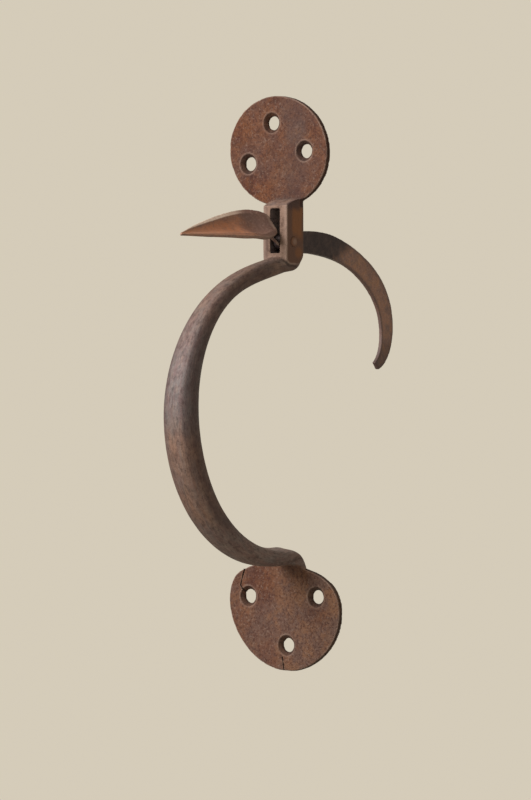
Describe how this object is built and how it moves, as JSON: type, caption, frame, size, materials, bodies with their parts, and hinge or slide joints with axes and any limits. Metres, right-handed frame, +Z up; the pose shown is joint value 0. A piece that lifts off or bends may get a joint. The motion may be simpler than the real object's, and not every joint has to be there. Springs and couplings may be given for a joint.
{
  "type": "door latch",
  "caption": "Hand-forged iron thumb latch: bowed grip between a round upper plate and a rounded lower plate, with a dished thumb lever whose curled tail lifts the bar behind the door.",
  "frame": {"origin": "on the flat back of the handle, which lies on the door's face, in the middle plane of the grip and at the level of the lever's pivot", "axes": "+Y into the door, -Y towards the person who opens it, +X to that person's right, +Z up"},
  "size_m": [0.0557, 0.1432, 0.2303],
  "materials": {
    "handle": "rusted brown, matt",
    "thumb_lever": "rusted brown, matt",
    "pivot_pin": "rusted brown, matt"
  },
  "bodies": {
    "handle": {"handle": "handle", "pivot_pin": "pivot_pin"},
    "thumb_lever": {"thumb_lever": "thumb_lever"}
  },
  "joints": [
    {"name": "lift_pivot", "type": "hinge", "parent": "handle", "child": "thumb_lever", "pos_m": [0, -0.0066, 0], "axis": [1, 0, 0], "range_deg": [0, 18]}
  ]
}
